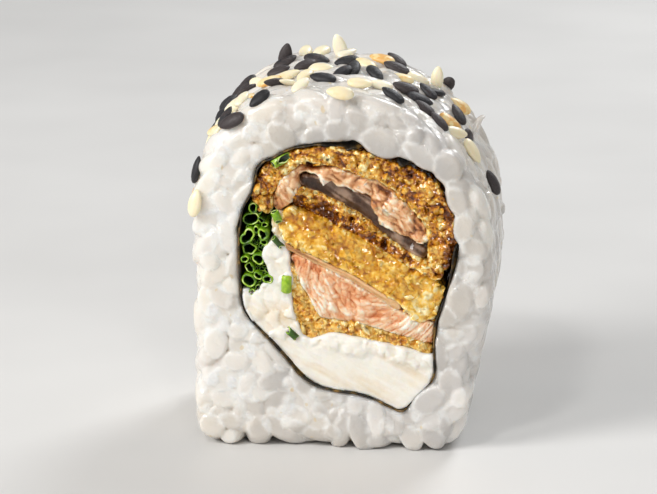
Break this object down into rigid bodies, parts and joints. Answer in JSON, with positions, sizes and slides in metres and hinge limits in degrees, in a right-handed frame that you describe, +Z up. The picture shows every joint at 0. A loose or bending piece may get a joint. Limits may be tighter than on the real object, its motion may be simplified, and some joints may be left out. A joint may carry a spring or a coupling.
{
  "type": "salmon skin roll slice",
  "caption": "One upright slice of inside-out sushi roll: rice with sesame round seaweed, crisp fried salmon with skin, cream cheese and chives.",
  "frame": {"origin": "under the middle of the slice, on the surface it stands on", "axes": "+X across the cut face, -Y out of the front cut face, +Z up through the sesame crown"},
  "size_m": [0.0326, 0.0247, 0.0407],
  "materials": {
    "rice": "moist, translucent, softly glossy cooked rice with black and pale sesame seeds on it",
    "nori": "thin dark seaweed sheet, crinkled, faintly glossy",
    "chives": "fresh green hollow leaves, pale cut rims and dark bores",
    "cream_cheese": "smooth soft white cheese with knife smears",
    "browned_crust": "deep brown fried crumb, oily and glossy",
    "golden_crust": "golden fried crumb, oily and glossy",
    "pale_crust": "pale golden fried batter",
    "salmon": "cooked salmon, pale pink, flaky and moist",
    "grey_skin": "fish skin, grey-brown, smooth and moist",
    "tan_skin": "fish skin, tan, smooth and moist"
  },
  "bodies": {
    "root": {"rice": "rice", "nori": "nori", "chives": "chives", "chive_bit_top": "chives", "chive_bit_corner": "chives", "chive_bit_dark": "chives", "chive_bit_middle": "chives", "chive_bit_low": "chives", "cream_cheese": "cream_cheese", "upper_crust": "browned_crust", "upper_salmon": "salmon", "upper_skin": "grey_skin", "middle_crust": "browned_crust", "lower_crust_top": "golden_crust", "lower_skin": "tan_skin", "lower_salmon": "salmon", "lower_crust_base": "pale_crust"}
  },
  "joints": []
}
